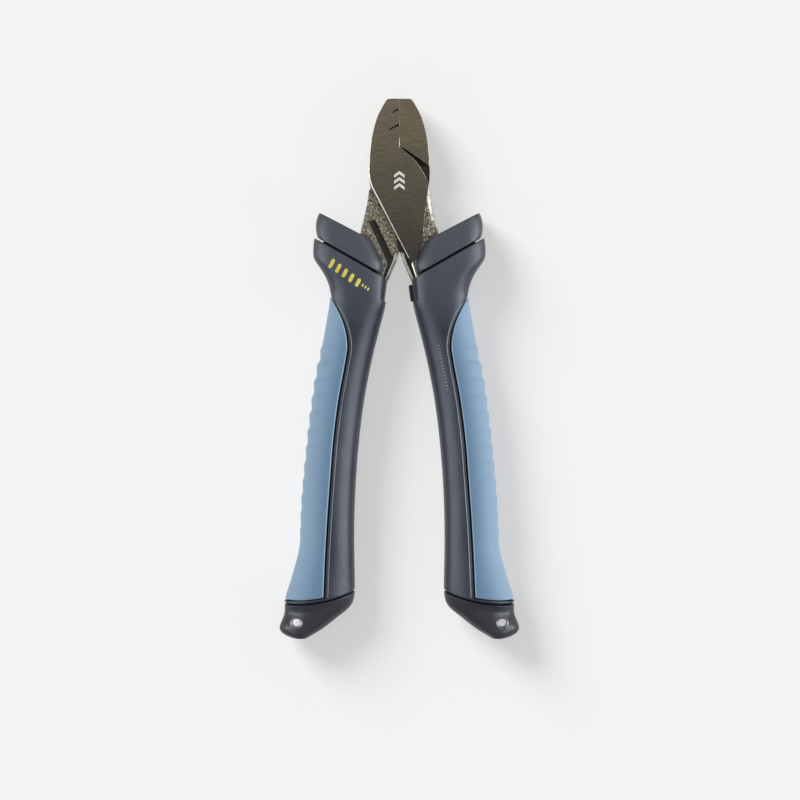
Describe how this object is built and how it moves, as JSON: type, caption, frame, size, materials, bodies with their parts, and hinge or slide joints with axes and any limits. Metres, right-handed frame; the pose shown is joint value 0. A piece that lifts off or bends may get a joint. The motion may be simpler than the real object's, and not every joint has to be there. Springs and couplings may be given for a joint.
{
  "type": "fishing pliers",
  "caption": "Sleeve-crimping fishing pliers with a riveted lap joint, shaped crimping jaws, two-colour finger-guard handles and lanyard eyelets.",
  "frame": {"origin": "middle of the length and width of the closed pliers, on the surface that the handles' rear faces rest on", "axes": "+Y along the closed pliers towards the jaw tips, +Z through the thickness towards the front face, +X to the right seen from the front"},
  "size_m": [0.0756, 0.17, 0.015],
  "materials": {
    "jaw_steel": "dark nickel finish, brushed across the faces, cast texture on the tangs",
    "rivet_steel": "ground flush and brushed with the jaw face",
    "core_plastic": "black hard plastic, satin",
    "navy_rubber": "dark navy grey, fine moulded speckle, satin",
    "blue_rubber": "grey blue soft rubber, matte",
    "cap_plastic": "near-black navy, smooth satin",
    "eyelet_nickel": "bright nickel plate"
  },
  "bodies": {
    "rear_half": {"forging_rear": "jaw_steel", "pivot_rivet": "rivet_steel", "handle_core_left": "core_plastic", "guard_left": "navy_rubber", "handle_body_left": "navy_rubber", "grip_left": "blue_rubber", "end_cap_left": "cap_plastic", "lanyard_eyelet_left": "eyelet_nickel"},
    "front_half": {"forging_front": "jaw_steel", "handle_core_right": "core_plastic", "guard_right": "navy_rubber", "handle_body_right": "navy_rubber", "grip_right": "blue_rubber", "end_cap_right": "cap_plastic", "lanyard_eyelet_right": "eyelet_nickel"}
  },
  "joints": [
    {"name": "jaw_pivot", "type": "hinge", "parent": "rear_half", "child": "front_half", "pos_m": [0, 0.059, 0.0075], "axis": [0, 0, 1], "range_deg": [0, 36]}
  ]
}
